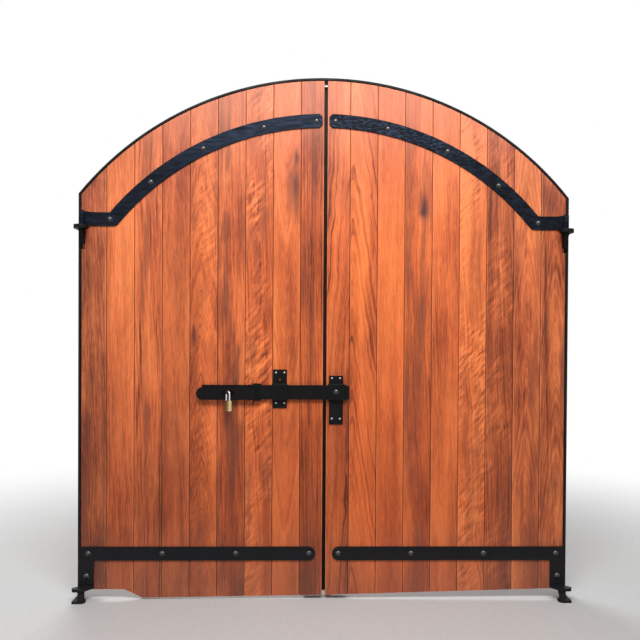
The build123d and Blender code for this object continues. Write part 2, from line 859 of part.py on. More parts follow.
crown_up = staple_z + staple_rod + shackle_rest + shackle_rod - leg_apart / 2 - lock_top
with BuildPart() as shackle:
    upright = Plane(lock_plane.origin, x_dir=across, z_dir=across.cross(Vector(0, 0, 1)))
    with BuildLine(upright) as shackle_path:
        Line((-leg_apart / 2, -shackle_set), (-leg_apart / 2, crown_up))
        ThreePointArc(
            (-leg_apart / 2, crown_up),
            (0, crown_up + leg_apart / 2),
            (leg_apart / 2, crown_up),
        )
        Line((leg_apart / 2, crown_up), (leg_apart / 2, -shackle_set))
    with BuildSketch(Plane(shackle_path.line @ 0, z_dir=(0, 0, 1))):
        Circle(shackle_rod)
    sweep()
write(shackle, "padlock_shackle")
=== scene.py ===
from math import atan2, cos, pi, radians, sin, tau

import bmesh
import bpy
from mathutils import Matrix, Vector


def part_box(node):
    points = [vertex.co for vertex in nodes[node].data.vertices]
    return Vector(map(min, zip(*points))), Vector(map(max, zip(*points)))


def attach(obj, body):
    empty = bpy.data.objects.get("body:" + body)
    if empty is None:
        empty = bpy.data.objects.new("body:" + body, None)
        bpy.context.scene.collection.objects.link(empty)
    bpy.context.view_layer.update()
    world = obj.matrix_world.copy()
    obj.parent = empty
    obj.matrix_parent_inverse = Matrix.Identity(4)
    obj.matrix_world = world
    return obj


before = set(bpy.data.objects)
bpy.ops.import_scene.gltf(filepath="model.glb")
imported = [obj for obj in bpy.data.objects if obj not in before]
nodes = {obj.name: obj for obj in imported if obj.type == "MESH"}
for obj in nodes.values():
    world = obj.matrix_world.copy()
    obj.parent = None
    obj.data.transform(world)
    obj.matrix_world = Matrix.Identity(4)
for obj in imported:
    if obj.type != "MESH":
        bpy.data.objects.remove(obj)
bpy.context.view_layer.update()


# Places read from the frame. The boards' front is at y = 0

bar_low, bar_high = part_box("bolt_bar")
guide_low, guide_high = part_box("bolt_guide")
keeper_low, keeper_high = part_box("bolt_keeper")
lock_low, lock_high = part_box("padlock_body")
bar_middle = (bar_low.z + bar_high.z) / 2
guide_middle = (guide_low.x + guide_high.x) / 2
keeper_middle = (keeper_low.x + keeper_high.x) / 2
lock_centre = (lock_low + lock_high) / 2
hasp_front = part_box("hasp")[0].y
strip_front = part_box("closing_strip")[0].y
rail_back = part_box("left_lock_rail")[1].y
plate_thick = 0.006
plate_front = -plate_thick


# Small helpers for node trees

class Graph:
    """Adds nodes to a node tree. An input is a socket to join or a plain value."""

    def __init__(self, node_tree):
        self.nodes = node_tree.nodes
        self.links = node_tree.links

    def put(self, kind, inputs=None, **settings):
        node = self.nodes.new(kind)
        for key, value in settings.items():
            setattr(node, key, value)
        for key, value in (inputs or {}).items():
            if isinstance(value, bpy.types.NodeSocket):
                self.links.new(value, node.inputs[key])
            else:
                node.inputs[key].default_value = value
        return node

    def math(self, operation, a, b=0.0, c=0.0):
        return self.put("ShaderNodeMath", {0: a, 1: b, 2: c}, operation=operation).outputs[0]

    def split(self, vector):
        """The x, y and z of a vector."""
        return self.put("ShaderNodeSeparateXYZ", {"Vector": vector}).outputs

    def shown(self):
        """1 for the rays that see the white backdrop: straight, mirrored or through glass."""
        rays = self.put("ShaderNodeLightPath").outputs
        seen = self.math("MAXIMUM", rays["Is Camera Ray"], rays["Is Glossy Ray"])
        return self.math("MAXIMUM", seen, rays["Is Transmission Ray"])


class Tree(Graph):
    """The node tree of a new material, with places in the object's own coordinates. The
    constants of the shader that ends it are given by the names of their sockets."""

    def __init__(self, name, constants):
        self.material = bpy.data.materials.new(name)
        self.material.use_nodes = True
        super().__init__(self.material.node_tree)
        self.shader = self.nodes["Principled BSDF"]
        for socket, value in constants.items():
            self.shader.inputs[socket].default_value = value
        self.place = self.put("ShaderNodeTexCoord").outputs["Object"]

    def moved(self, vector, scale=(1, 1, 1), shift=(0, 0, 0), turn=0.0):
        """The vector turned about Y, scaled and shifted."""
        inputs = {"Vector": vector, "Scale": scale, "Location": shift, "Rotation": (0, turn, 0)}
        return self.put("ShaderNodeMapping", inputs).outputs[0]

    def noise(self, vector, scale, detail=2.0, roughness=0.5):
        """Noise with one scale, or with one for each direction."""
        if isinstance(scale, tuple):
            vector = self.moved(vector, scale)
            scale = 1.0
        inputs = {"Vector": vector, "Scale": scale, "Detail": detail, "Roughness": roughness}
        return self.put("ShaderNodeTexNoise", inputs).outputs["Fac"]

    def band(self, value, low, high, to_low=0.0, to_high=1.0):
        """Maps low to high smoothly onto another range."""
        inputs = {"Value": value, 1: low, 2: high, 3: to_low, 4: to_high}
        return self.put("ShaderNodeMapRange", inputs, interpolation_type="SMOOTHSTEP").outputs[0]

    def ramp(self, value, *stops):
        """A colour for each value, from (value, colour) stops in rising order."""
        node = self.put("ShaderNodeValToRGB", {"Fac": value})
        elements = node.color_ramp.elements
        for place, colour in stops[2:]:
            elements.new(place)
        for element, (place, colour) in zip(elements, stops):
            element.position = place
            element.color = (*colour, 1)
        return node.outputs["Color"]

    def mix(self, factor, a, b, blend="MIX"):
        """Colour a with a share of colour b, or multiplied by it."""
        node = self.put("ShaderNodeMix", data_type="RGBA", blend_type=blend)
        for index, value in ((0, factor), (6, a), (7, b)):
            if isinstance(value, bpy.types.NodeSocket):
                self.links.new(value, node.inputs[index])
            else:
                node.inputs[index].default_value = value if index == 0 else (*value, 1)
        return node.outputs[2]

    def surface(self, colour, roughness=None, relief=None, depth=0.0004, strength=0.5):
        self.links.new(colour, self.shader.inputs["Base Color"])
        if roughness:
            self.links.new(roughness, self.shader.inputs["Roughness"])
        if relief:
            inputs = {"Height": relief, "Distance": depth, "Strength": strength}
            node = self.put("ShaderNodeBump", inputs)
            self.links.new(node.outputs[0], self.shader.inputs["Normal"])


# Oiled hardwood

dark_vein = (0.140, 0.026, 0.010)
red_brown = (0.350, 0.066, 0.022)
middle_brown = (0.560, 0.118, 0.036)
orange = (0.740, 0.168, 0.050)
light_orange = (0.900, 0.232, 0.072)
smoky = (0.180, 0.050, 0.028)
knot_brown = (0.070, 0.022, 0.021)
# A painted reflection of the sky, paling the boards towards the top of the arch
sky_haze = (0.640, 0.225, 0.135)
# A painted highlight on the arris beside each seam
arris_highlight = (0.950, 0.400, 0.200)
# Painted shade in the vee grooves between the boards
seam_shade = (0.110, 0.022, 0.008)
earth = (0.240, 0.118, 0.088)
# Painted shade on the closing strip's front, in the meeting gap
gap_shade = (0.020, 0.008, 0.006)
warm_tint = (0.98, 1.06, 0.99)
# A blue tint higher up, a painted reflection of the sky
sky_tint = (0.95, 1.03, 1.38)

# The noises' scales across the board, through it and along it
drift_scale = (2.5, 2.5, 0.9)
wobble_scale = (9, 9, 5)
fibre_scale = (95, 95, 2.4)
fleck_scale = (150, 150, 17)
broad_scale = (11, 11, 0.6)
patch_scale = (6.5, 6.5, 2.4)
vein_scale = (42, 42, 1.1)
ripple_scale = (16, 16, 60)
warm_scale = (7, 7, 1.7)
smoke_scale = (14, 14, 1.5)
pore_scale = (900, 900, 30)
ring_scale = 110.0
drift_reach = 0.060

# Heights above the ground between which the wood changes. Its lighter tone higher up is a painted
# fall of light from above, and its blue tint and pale haze near the top are a painted reflection of
# the sky
contrast_heights = (0.40, 1.50)
tone_heights = (0.15, 2.00)
sky_tint_heights = (1.75, 2.50)
haze_heights = (2.22, 2.62)
splashed_heights = (0.12, 0.60)

# Distances from a board's edge between which the painted seam shade fades and the painted highlight
# on the arris comes and goes
hinge_seam = (0.0018, 0.0050)
middle_seam = (0.0004, 0.0014)
arris_start = (0.0010, 0.0018)
arris_stop = (0.0030, 0.0050)


class Cut:
    """How a piece was cut from its log, in metres, and how much it shows of each feature."""
    pith = 0.03  # depth of the pith behind the piece
    off = 0.0  # distance of the pith to the side
    climb = 0.05  # shift of the rings for each metre along the grain
    wave = 0.0096  # reach of the grain's wobble
    wide = 1.0  # width of the rings against the usual one
    tone = 0.0  # lighter above 0, darker below
    hue = 0.0  # greyer above 0, redder below
    rings = 0.5  # growth rings
    stripes = 0.0  # dark late wood in the rings
    fibre = 0.52  # fine fibre
    veins = 0.0  # dark veins along the grain
    ripple = 0.0  # curls across the grain
    patches = 0.6  # broad light and dark patches
    smoke = 0.4  # smoky streaks
    spots = ()  # knots and stains: (x, z, half width, half length, swirl of the rings, darkness)

    def __init__(self, **changes):
        for key, value in changes.items():
            setattr(self, key, value)


class Wood(Tree):
    """Wood with its grain up Z, or turned from it. The rings show as arches where the pith lies
    behind the piece and as straight lines where it lies off to the side."""

    def __init__(self, name, middle, seed, cut, turn):
        super().__init__(name, {"Specular IOR Level": 0.21})
        self.cut = cut
        self.height = self.split(self.place)["Z"]
        place = self.moved(self.place, turn=turn, shift=(-middle, 0, 0))
        self.x, self.y, self.z = self.split(place)

        # Each piece has its own part of the log: here, and bent by the grain's drift and wobble
        self.here = self.moved(place, shift=(seed * 0.73, seed * 0.41, seed * 3.1))
        drift = self.noise(self.here, drift_scale, 3.0)
        wobble = self.math("SUBTRACT", self.noise(self.here, wobble_scale), 0.5)
        across = self.math("ADD", self.x, cut.off - drift_reach / 2)
        across = self.math("MULTIPLY_ADD", drift, drift_reach, across)
        across = self.math("MULTIPLY_ADD", wobble, cut.wave, across)
        bent = self.put("ShaderNodeCombineXYZ", {0: across, 1: self.y, 2: self.z}).outputs[0]
        self.bent = self.moved(bent, shift=(seed * 1.3, seed * 0.7, seed * 2.7))

        self.lines, self.darkness = self.rings_and_spots(across, middle)
        self.fine = self.noise(self.bent, fibre_scale, 7.0, 0.68)
        self.patch = self.noise(self.here, patch_scale, 3.0, 0.55)

    def rings_and_spots(self, across, middle):
        """The growth rings, which swirl round the knots, and the darkness of knots and stains."""
        ring = self.math("ADD", self.math("MULTIPLY", across, across), self.cut.pith ** 2)
        ring = self.math("MULTIPLY_ADD", self.z, self.cut.climb, self.math("SQRT", ring))
        darkness = None
        for spot_x, spot_z, half_wide, half_long, swirl, depth in self.cut.spots:
            beside = self.math("DIVIDE", self.math("SUBTRACT", self.x, spot_x - middle), half_wide)
            along = self.math("DIVIDE", self.math("SUBTRACT", self.z, spot_z), half_long)
            near = self.math("ADD", self.math("POWER", beside, 2), self.math("POWER", along, 2))
            near = self.math("EXPONENT", self.math("MULTIPLY", near, -1.0))
            ring = self.math("MULTIPLY_ADD", near, swirl, ring)
            darkness = self.math("MULTIPLY_ADD", near, depth, darkness or 0.0)
        inputs = {"W": ring, "Scale": ring_scale / self.cut.wide, "Detail": 3.0, "Roughness": 0.6}
        lines = self.put("ShaderNodeTexNoise", inputs, noise_dimensions="1D").outputs["Fac"]
        return lines, darkness

    def figure(self):
        """The tone of the grain. It is lighter higher up, a painted fall of light from above, and
        has more contrast higher up.
        """
        cut = self.cut
        fleck = self.noise(self.bent, fleck_scale, 3.0, 0.6)
        broad = self.noise(self.bent, broad_scale)
        value = 0.0
        for texture, weight in ((self.lines, cut.rings), (self.fine, cut.fibre), (fleck, 0.42),
                                (broad, 0.78), (self.patch, cut.patches)):
            value = self.math("MULTIPLY_ADD", self.math("SUBTRACT", texture, 0.5), weight, value)
        if cut.stripes:
            late_wood = self.band(self.lines, 0.52, 0.64)
            value = self.math("MULTIPLY_ADD", late_wood, -cut.stripes, value)
        if cut.veins:
            vein = self.band(self.noise(self.bent, vein_scale, 4.0, 0.6), 0.55, 0.66)
            value = self.math("MULTIPLY_ADD", vein, -cut.veins, value)
        if cut.ripple:
            slanted = self.moved(self.bent, turn=radians(50))
            curl = self.math("SUBTRACT", self.noise(slanted, ripple_scale), 0.5)
            curl = self.math("MULTIPLY", curl, self.band(self.patch, 0.38, 0.58))
            value = self.math("MULTIPLY_ADD", curl, cut.ripple, value)
        contrast = self.band(self.height, *contrast_heights, 0.92, 1.22)
        # Lighter higher up: a painted fall of light from above
        level = self.band(self.height, *tone_heights, 0.412 + cut.tone, 0.538 + cut.tone)
        return self.math("MULTIPLY_ADD", value, contrast, level)

    def tinted(self, colour):
        """The colour with warm patches, the piece's own hue, a blue tint higher up that is a painted
        reflection of the sky, smoky streaks, knots and stains.
        """
        hue = self.cut.hue
        warm = self.band(self.noise(self.here, warm_scale), 0.40, 0.62, 0.0, 0.75)
        colour = self.mix(warm, colour, warm_tint, "MULTIPLY")
        colour = self.mix(1.0, colour, (1.0, 1.0 + 0.14 * hue, 1.0 + 0.30 * hue), "MULTIPLY")
        # A blue tint towards the top, a painted reflection of the sky
        sky_tinted = self.band(self.height, *sky_tint_heights)
        colour = self.mix(sky_tinted, colour, sky_tint, "MULTIPLY")
        cloud = self.noise(self.bent, smoke_scale, 4.0, 0.6)
        streak = self.band(self.math("MULTIPLY_ADD", self.fine, 0.35, cloud), 0.66, 0.86)
        colour = self.mix(self.math("MULTIPLY", streak, self.cut.smoke), colour, smoky)
        if self.darkness:
            fibres = self.band(self.fine, 0.25, 0.65, 0.70, 0.98)
            knot = self.math("MINIMUM", self.math("MULTIPLY", self.darkness, fibres), 0.95)
            colour = self.mix(knot, colour, knot_brown)
        return colour

    def hazed(self, colour):
        """The colour paled towards the top of the arch, a painted haze of reflected sky."""
        return self.mix(self.band(self.height, *haze_heights, 0.0, 0.48), colour, sky_haze)

    def soiled(self, colour):
        """The colour with earth splashed up from the ground, further in some fibres."""
        splashed = self.math("MULTIPLY_ADD", self.fine, 0.20, self.height)
        return self.mix(self.band(splashed, *splashed_heights, 0.32, 0.0), colour, earth)

    def edged(self, colour, cover, inner_side):
        """The colour with painted shade along both edges of a board, in the vee grooves, wider on
        the hinge side, and a painted highlight on the arris beside the seam on the side of the
        gate's middle, where the chamfer faces the light."""
        to_middle = self.math("MULTIPLY_ADD", self.x, -inner_side, cover / 2)
        to_hinge = self.math("MULTIPLY_ADD", self.x, inner_side, cover / 2)
        # Painted shade in the vee grooves
        colour = self.mix(self.band(to_hinge, *hinge_seam, 0.72, 0.0), colour, seam_shade)
        colour = self.mix(self.band(to_middle, *middle_seam, 0.70, 0.0), colour, seam_shade)
        # Painted highlight on the arris towards the gate's middle, which faces the light
        wear_and_highlight = self.math("MULTIPLY", self.band(to_middle, *arris_start),
                           self.band(to_middle, *arris_stop, 0.5, 0.0))
        wear_and_highlight = self.math("MULTIPLY", wear_and_highlight, self.band(self.patch, 0.35, 0.60, 0.35, 1.0))
        return self.mix(wear_and_highlight, colour, arris_highlight)


def wood(name, middle, seed, cut, turn=0.0, cover=0.0, inner_side=1, shaded_front=None):
    """The material of one piece of wood. A board has a cover width, and the closing strip has a
    front darkened with painted shade, as seen in the meeting gap."""
    tree = Wood(name, middle, seed, cut, turn)
    colour = tree.ramp(tree.figure(), (0.12, dark_vein), (0.32, red_brown), (0.50, middle_brown),
                       (0.68, orange), (0.90, light_orange))
    colour = tree.tinted(colour)
    # Boards pale towards the top with a painted reflection of the sky
    if cover:
        colour = tree.hazed(colour)
    open_pore = tree.band(tree.noise(tree.bent, pore_scale), 0.60, 0.70)
    colour = tree.mix(tree.math("MULTIPLY", open_pore, 0.30), colour, dark_vein)
    colour = tree.soiled(colour)
    # Painted shade on the strip's front, which is seen through the meeting gap
    if shaded_front:
        shade = tree.band(tree.y, shaded_front + 0.0003, shaded_front + 0.0008, 0.93, 0.0)
        colour = tree.mix(shade, colour, gap_shade)
    if cover:
        colour = tree.edged(colour, cover, inner_side)
    roughness = tree.band(tree.fine, 0.30, 0.70, 0.52, 0.38)
    relief = tree.math("ADD", tree.fine, tree.lines)
    relief = tree.math("MULTIPLY_ADD", open_pore, -0.6, relief)
    tree.surface(colour, roughness, relief, 0.0006, 0.35)
    return tree.material


# Painted ironwork

black_paint = (0.0045, 0.0040, 0.0045)
paint_dust = (0.022, 0.020, 0.019)
ground_dust = (0.024, 0.024, 0.028)
# A painted reflection of the sky on the ironwork
sky_sheen = (0.036, 0.054, 0.094)
rust_brown = (0.100, 0.030, 0.012)
worn_steel = (0.045, 0.045, 0.047)
dusty_heights = (0.15, 0.60)
# Heights between which the painted sky reflection grows on the ironwork
sheen_heights = (2.20, 2.42)


def iron(name, base=black_paint, rough=0.30, lumps=0.5, rust=0.0, gloss=0.10, sheen=0.0,
         streaks=(0.30, 0.75), fineness=(12, 12, 60), wear_and_highlight=None):
    """Black paint, dusty near the ground. It can have a sky-blue sheen in streaks, stronger higher
    up, which is a painted reflection of the sky, and a spot (x, z, radius) where the paint has been
    rubbed off the steel."""
    tree = Tree(name, {"Specular IOR Level": gloss})
    axes = tree.split(tree.place)
    height = axes["Z"]
    cloud = tree.noise(tree.place, 9.0, 4.0, 0.6)
    colour = tree.mix(tree.band(cloud, 0.50, 0.75, 0.0, 0.20), base, paint_dust)
    colour = tree.mix(tree.band(height, *dusty_heights, 0.40, 0.0), colour, ground_dust)
    # Painted reflection of the sky: sky-blue streaks, stronger higher up
    if sheen:
        sheen_noise = tree.noise(tree.place, fineness, 5.0, 0.65)
        sky = tree.math("MULTIPLY", tree.band(sheen_noise, *streaks, 0.05, sheen),
                        tree.band(height, *sheen_heights, 0.36, 1.0))
        colour = tree.mix(sky, colour, sky_sheen)
    if rust:
        flakes = tree.noise(tree.place, 60.0, 6.0, 0.7)
        colour = tree.mix(tree.band(flakes, 0.62, 0.70, 0.0, rust), colour, rust_brown)
    roughness = tree.band(cloud, 0.35, 0.70, rough, rough * 1.7)
    if wear_and_highlight:
        centre_x, centre_z, radius = wear_and_highlight
        beside = tree.math("POWER", tree.math("SUBTRACT", axes["X"], centre_x), 2)
        above = tree.math("POWER", tree.math("SUBTRACT", height, centre_z), 2)
        away = tree.math("SQRT", tree.math("ADD", beside, above))
        bare = tree.band(away, radius * 0.8, radius, 1.0, 0.0)
        colour = tree.mix(bare, colour, worn_steel)
        roughness = tree.math("MULTIPLY_ADD", bare, -0.20, roughness)
        tree.links.new(bare, tree.shader.inputs["Metallic"])
    hammer = tree.noise(tree.place, 70.0)
    grain = tree.noise(tree.place, 420.0, 3.0, 0.6)
    relief = tree.math("MULTIPLY_ADD", hammer, lumps * 4, tree.math("MULTIPLY", grain, 0.5))
    tree.surface(colour, roughness, relief, 0.0005, 0.35)
    return tree.material


# Bare metal

dulled = 0.55
# How dark the painted shade on one side of the metal gets, and the width over which it fades
shade_share = 0.25
shade_edge = 0.008


def metal(name, colour, rough, brushed, shaded_to=None):
    """Bare metal with fine scratches along one direction. It can be painted darker up to an x, as
    shade on the side turned from the light.
    """
    tree = Tree(name, {"Metallic": 1.0})
    marks = tree.noise(tree.place, brushed, 4.0, 0.6)
    cloud = tree.noise(tree.place, 90.0, 3.0)
    dull_colour = tuple(c * dulled for c in colour)
    shade = tree.mix(tree.band(cloud, 0.40, 0.75, 0.0, 0.5), colour, dull_colour)
    # Painted shade: darker up to an x, on the side turned from the light
    if shaded_to:
        place = tree.math("MULTIPLY_ADD", cloud, 0.012, tree.split(tree.place)["X"])
        dark = tree.band(place, shaded_to, shaded_to + shade_edge, 0.85, 0.0)
        shade = tree.mix(dark, shade, tuple(c * shade_share for c in colour))
    tree.surface(shade, tree.band(marks, 0.30, 0.75, rough, rough + 0.2), marks, 0.0001, 0.3)
    return tree.material


# Dressing the CAD nodes. An arris is the width of the bevel that takes the sharpness off an edge

board_arris = 0.0008
framing_arris = 0.0015
strip_arris = 0.0020
strap_arris = 0.0012
pintle_arris = 0.0015
latch_arris = 0.0010
boards = range(1, 10)


def dress(name, material, arris=None):
    node = nodes[name]
    for slot in node.material_slots:
        slot.material = material
    if arris:
        weld = node.modifiers.new("weld", "WELD")
        weld.merge_threshold = 0.00002
        bevel = node.modifiers.new("ease", "BEVEL")
        bevel.width = arris
        bevel.segments = 2
        bevel.limit_method = "ANGLE"
        bevel.angle_limit = radians(40)
        bevel.harden_normals = True


# One cut for each board, from left to right
left_cuts = [
    Cut(tone=-0.26, off=0.20, rings=0.30, smoke=0.75, patches=0.9, hue=1.6),
    Cut(tone=0.012, off=0.30, rings=0.25, fibre=0.6, smoke=0.2, hue=0.4),
    Cut(tone=-0.003, off=0.12, rings=0.35, fibre=0.75, veins=0.34, smoke=0.7, hue=0.5),
    Cut(tone=-0.041, off=0.25, rings=0.18, fibre=0.3, smoke=0.3, patches=0.5, hue=0.5),
    Cut(tone=0.11, pith=0.01, off=0.015, climb=0.22, rings=0.85, wide=1.3, stripes=0.30,
        wave=0.048, ripple=0.6, smoke=0.5,
        spots=[(-0.680, 1.360, 0.016, 0.080, 0.05, 0.50),
               (-0.676, 1.376, 0.009, 0.045, 0.03, 0.35)]),
    Cut(tone=-0.055, off=0.15, rings=0.35, fibre=0.6, veins=0.15, smoke=1.0, patches=0.9, hue=0.2),
    Cut(tone=0.117, off=0.10, rings=0.35, ripple=1.5, veins=0.15, wave=0.024, smoke=0.6),
    Cut(tone=0.108, pith=0.035, climb=-0.10, rings=0.55, wide=1.8, fibre=0.25, smoke=0.15,
        patches=0.5, hue=-0.1,
        spots=[(-0.150, 2.300, 0.015, 0.044, 0.02, 0.85), (-0.172, 2.170, 0.042, 0.085, 0.02, 0.46),
               (-0.153, 2.170, 0.018, 0.100, 0.0, 0.48), (-0.158, 2.055, 0.030, 0.070, 0.0, 0.42)]),
    Cut(tone=-0.09, off=0.22, climb=0.02, rings=0.45, wide=1.4, stripes=0.24, fibre=0.7,
        veins=0.20, smoke=0.5, hue=-0.5),
]
right_cuts = [
    Cut(tone=0.035, pith=0.01, off=-0.050, climb=0.06, rings=0.95, wide=3.2, stripes=0.42,
        wave=0.048, smoke=0.3, hue=-0.3),
    Cut(tone=0.183, pith=0.01, off=0.050, climb=0.16, rings=0.65, wide=2.6, stripes=0.36,
        fibre=0.45, wave=0.032, smoke=0.2, hue=-0.6),
    Cut(tone=0.097, off=0.30, rings=0.18, fibre=0.3, smoke=0.1, patches=0.4, hue=-0.5),
    Cut(tone=0.025, off=0.20, rings=0.30, fibre=0.45, veins=0.10, smoke=0.7, hue=-0.25,
        spots=[(0.514, 2.055, 0.022, 0.062, 0.02, 1.05), (0.506, 2.015, 0.023, 0.024, 0.03, 0.55)]),
    Cut(tone=0.08, off=0.30, rings=0.30, fibre=0.45, smoke=0.2, hue=-0.1),
    Cut(tone=0.26, off=0.08, rings=0.50, ripple=1.8, wave=0.040, smoke=0.4),
    Cut(tone=-0.115, off=0.15, rings=0.40, veins=0.18, ripple=0.6, smoke=0.7, hue=0.7),
    Cut(tone=0.09, pith=0.02, climb=0.12, rings=0.45, veins=0.10, smoke=0.6, patches=0.9, hue=0.8),
    Cut(tone=-0.03, pith=0.03, off=-0.02, climb=0.12, rings=0.50, veins=0.18, smoke=0.8,
        patches=0.9, hue=0.9, spots=[(1.185, 2.075, 0.080, 0.100, 0.0, 0.62)]),
]

# The boards' tongues point to the gate's middle, so the seams are at the other ends of their boxes
for leaf, cuts, inner_side, first_seed in (("left", left_cuts, 1, 0), ("right", right_cuts, -1, 20)):
    names = [f"{leaf}_board_{number}" for number in boards]
    lows = [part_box(name)[0].x for name in names]
    highs = [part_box(name)[1].x for name in names]
    seams = lows + highs[-1:] if leaf == "left" else lows[:1] + highs
    for name, cut, number, start, stop in zip(names, cuts, boards, seams, seams[1:]):
        material = wood(name, (start + stop) / 2, number * 1.37 + first_seed, cut,
                        cover=stop - start, inner_side=inner_side)
        dress(name, material, board_arris)

# The framing runs up, across or aslant, and its grain with it
framing = ("hanging_stile", "meeting_stile", "bottom_rail", "lock_rail", "head_rail",
           "lower_brace", "upper_brace")
head_rail_slant = radians(62)
for leaf, side, first_seed in (("left", -1, 60), ("right", 1, 40)):
    for count, part in enumerate(framing):
        name = f"{leaf}_{part}"
        low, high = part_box(name)
        turn = 0.0
        if part.endswith("rail"):
            turn = pi / 2
        if part == "head_rail":
            turn = side * head_rail_slant
        if part.endswith("brace"):
            turn = side * atan2(high.x - low.x, high.z - low.z)
        cut = Cut(tone=-0.08 + 0.02 * (count % 3), off=0.25, rings=0.35)
        dress(name, wood(name, 0.0, first_seed + count * 1.9, cut, turn=turn), framing_arris)
strip_cut = Cut(tone=-0.09, off=0.3, rings=0.3)
strip_wood = wood("closing_strip", 0.0, 83.0, strip_cut, shaded_front=strip_front)
dress("closing_strip", strip_wood, strip_arris)

black = iron("black_iron")
# The upper straps' blue-black base and sky-blue sheen are a painted reflection of the sky
sky_black = iron("sky_sheened_black_iron", base=(0.0042, 0.0050, 0.0078), rough=0.34, lumps=1.2,
                 gloss=0.04, sheen=0.75)
rough_black = iron("rough_black_iron", base=(0.0038, 0.0044, 0.0064), rough=0.34, lumps=2.5,
                   gloss=0.04, sheen=0.85, streaks=(0.44, 0.66), fineness=(38, 38, 110))
worn_black = iron("worn_black_iron", base=(0.006, 0.0055, 0.006), rough=0.42, rust=0.5)
bright_black = iron("enamelled_black_iron", rough=0.06, lumps=0.1, gloss=0.70)
keeper_black = iron("rubbed_black_iron", wear_and_highlight=(keeper_middle, bar_middle, 0.016))
lining = iron("lining_steel", base=(0.0075, 0.0068, 0.0070), rough=0.45, lumps=0.3, rust=0.6,
              gloss=0.14)
# The padlock's left side is painted darker, as shade
brass = metal("padlock_brass", colour=(0.66, 0.56, 0.30), rough=0.24, brushed=(60, 60, 1800),
              shaded_to=lock_centre.x - 0.002)
steel = metal("padlock_steel", colour=(0.72, 0.72, 0.74), rough=0.14, brushed=(300, 300, 300))
bright = metal("bright_screws", colour=(0.42, 0.42, 0.44), rough=0.22, brushed=(500, 500, 500))

straps = {"left_upper_strap": sky_black, "right_upper_strap": rough_black}
for name in nodes:
    if name.endswith("strap"):
        dress(name, straps.get(name, black), strap_arris)
    if name.endswith("bolts"):
        dress(name, bright_black)
    if name.endswith(("pintle", "socket")):
        dress(name, worn_black, pintle_arris)
for name in ("bolt_guide", "bolt_bar", "hasp_saddle", "hasp"):
    dress(name, black, latch_arris)
dress("bolt_keeper", keeper_black, latch_arris)
dress("staple", worn_black)
for name in ("left_jamb", "right_jamb", "arch_lining"):
    dress(name, lining)
dress("padlock_body", brass)
dress("padlock_shackle", steel)


# New pieces

def add(name, data):
    """A new object in the scene."""
    piece = bpy.data.objects.new(name, data)
    bpy.context.scene.collection.objects.link(piece)
    return piece


def lathe(name, profile, segments):
    """A solid turned about Z from (radius, height) points, the first and last on the axis."""
    mesh = bmesh.new()
    ends = [mesh.verts.new((0, 0, profile[0][1])), mesh.verts.new((0, 0, profile[-1][1]))]
    turns = [tau * k / segments for k in range(segments)]
    rows = [[mesh.verts.new((radius * cos(a), radius * sin(a), height)) for a in turns]
            for radius, height in profile[1:-1]]
    for k in range(segments):
        after = (k + 1) % segments
        mesh.faces.new((ends[0], rows[0][after], rows[0][k]))
        for lower, upper in zip(rows, rows[1:]):
            mesh.faces.new((lower[k], lower[after], upper[after], upper[k]))
        mesh.faces.new((ends[1], rows[-1][k], rows[-1][after]))
    data = bpy.data.meshes.new(name)
    mesh.to_mesh(data)
    mesh.free()
    for face in data.polygons:
        face.use_smooth = True
    return data


def cut_slot(data, width, depth, top):
    """Presses a driver's slot across the head of a turned screw."""
    mesh = bmesh.new()
    mesh.from_mesh(data)
    for edge in (-width / 2, width / 2):
        geometry = mesh.verts[:] + mesh.edges[:] + mesh.faces[:]
        bmesh.ops.bisect_plane(mesh, geom=geometry, plane_co=(0, edge, 0), plane_no=(0, 1, 0))
    faces = [f for f in mesh.faces if abs(f.calc_center_median().y) < width / 2
             and f.calc_center_median().z > top - depth]
    sunk = bmesh.ops.extrude_face_region(mesh, geom=faces)
    bmesh.ops.delete(mesh, geom=faces, context="FACES")
    for vertex in [g for g in sunk["geom"] if isinstance(g, bmesh.types.BMVert)]:
        vertex.co.z = min(vertex.co.z, top) - depth
    mesh.to_mesh(data)
    mesh.free()
    return data


def join(name, pieces, material, body):
    """One object from several (mesh, matrix) pairs, riding on a body."""
    mesh = bmesh.new()
    for data, matrix in pieces:
        start = len(mesh.verts)
        mesh.from_mesh(data)
        mesh.verts.ensure_lookup_table()
        bmesh.ops.transform(mesh, matrix=matrix, verts=mesh.verts[start:])
    data = bpy.data.meshes.new(name)
    mesh.to_mesh(data)
    mesh.free()
    data.materials.append(material)
    piece = add(name, data)
    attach(piece, body)


def facing(side, x, y, z, turn=0.0):
    """Stands a turned piece at a place, with its head to the front (1) or to the back (-1)."""
    return (Matrix.Translation((x, y, z)) @ Matrix.Rotation(side * pi / 2, 4, "X")
            @ Matrix.Rotation(turn, 4, "Z"))


# A domed screw with a slot
screw_radius = 0.0055
screw_root = -0.001
screw_rim = 0.0004
dome_height = 0.0028
screw_top = screw_rim + dome_height
slot_width = 0.0014
slot_depth = 0.0012
dome = [(screw_radius * cos(a), screw_rim + dome_height * sin(a))
        for a in (radians(angle) for angle in (18, 36, 54, 72))]
screw_profile = [(0, screw_root), (screw_radius, screw_root), (screw_radius, screw_rim), *dome,
                 (0, screw_top)]
screw = cut_slot(lathe("screw", screw_profile, 28), slot_width, slot_depth, screw_top)

# How far the slots turn from screw to screw in a plate, and from board to board in the framing
plate_screw_turn = 0.9
frame_screw_turn = 1.7

